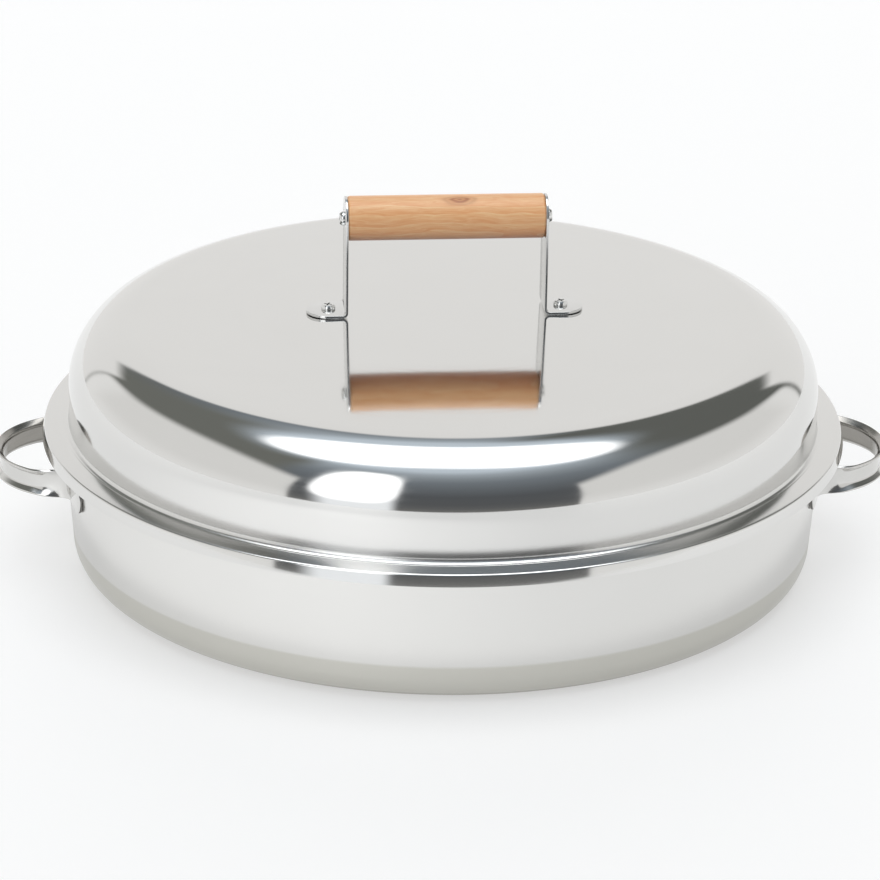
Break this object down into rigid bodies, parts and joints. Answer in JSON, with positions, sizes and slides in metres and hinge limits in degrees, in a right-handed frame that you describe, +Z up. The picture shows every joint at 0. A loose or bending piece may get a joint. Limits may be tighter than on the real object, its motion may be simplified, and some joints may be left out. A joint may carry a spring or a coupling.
{
  "type": "grill smoker pan",
  "caption": "Round polished steel smoker pan with a domed lift-off lid, a wooden grip on bent brackets, loop side handles, and a drip tray and wire food grate inside.",
  "frame": {"origin": "middle of the flat base, on the surface that the pan stands on", "axes": "+X out through the right loop handle, +Y to the back, +Z up"},
  "size_m": [0.5078, 0.4532, 0.2115],
  "materials": {
    "pan_steel": "polished",
    "lid_steel": "mirror polished",
    "strap_steel": "polished, drawn",
    "bracket_steel": "polished",
    "screw_steel": "bright",
    "tray_steel": "satin",
    "wire_steel": "bright drawn",
    "grip_wood": "sanded and oiled"
  },
  "bodies": {
    "pan": {"pan_shell": "pan_steel", "left_pan_handle": "strap_steel", "right_pan_handle": "strap_steel"},
    "lid": {"lid_shell": "lid_steel", "left_bracket": "bracket_steel", "right_bracket": "bracket_steel", "wooden_grip": "grip_wood", "left_grip_screw": "screw_steel", "right_grip_screw": "screw_steel", "left_lid_screw": "screw_steel", "right_lid_screw": "screw_steel", "left_lid_washer": "screw_steel", "right_lid_washer": "screw_steel", "left_lid_nut": "screw_steel", "right_lid_nut": "screw_steel"},
    "tray": {"drip_tray": "tray_steel", "tray_feet": "tray_steel"},
    "grate": {"grate_ring": "wire_steel", "grate_wires": "wire_steel", "grate_cross_bars": "wire_steel", "grate_legs": "wire_steel", "grate_lift_handles": "wire_steel"}
  },
  "joints": [
    {"name": "lid_lift", "type": "slide", "parent": "pan", "child": "lid", "axis": [0, 0, 1], "range_m": [0, 0.32]},
    {"name": "grate_lift", "type": "slide", "parent": "pan", "child": "grate", "axis": [0, 0, 1], "range_m": [0, 0.16]},
    {"name": "tray_lift", "type": "slide", "parent": "pan", "child": "tray", "axis": [0, 0, 1], "range_m": [0, 0.0896]}
  ],
  "couplings": [
    {"joint": "grate_lift", "follows": "lid_lift", "ratio": 0.5},
    {"joint": "tray_lift", "follows": "lid_lift", "ratio": 0.28}
  ]
}
